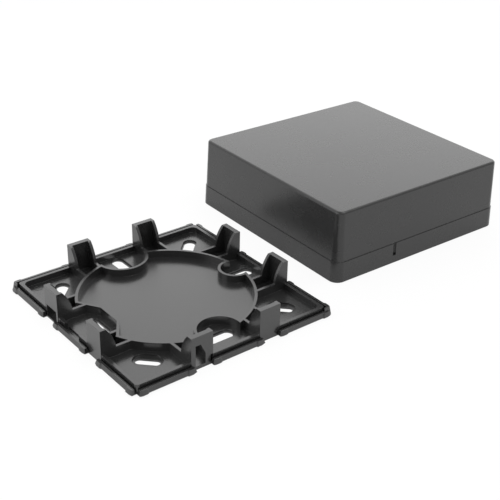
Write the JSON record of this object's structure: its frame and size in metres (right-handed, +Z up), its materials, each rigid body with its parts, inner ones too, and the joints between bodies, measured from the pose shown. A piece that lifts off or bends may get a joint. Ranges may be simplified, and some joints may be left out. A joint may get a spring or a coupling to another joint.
{
  "type": "injection moulded plastic housing",
  "caption": "Square black surface-mount housing: a shallow base tray with a ring wall, slots and upright clip tabs, and the plain box cover that clips over it, shown taken off.",
  "frame": {"origin": "centre of the base's flat underside, which rests on the same surface as the cover's open edge", "axes": "+Z up out of the base; +X from the base towards the cover that lies beside it; +Y to the left seen from -X"},
  "size_m": [0.1835, 0.1004, 0.0282],
  "materials": {
    "base_plastic": "satin, fine mould texture",
    "cover_plastic": "satin, fine mould texture"
  },
  "bodies": {
    "root": {"base": "base_plastic", "cover": "cover_plastic"}
  },
  "joints": []
}
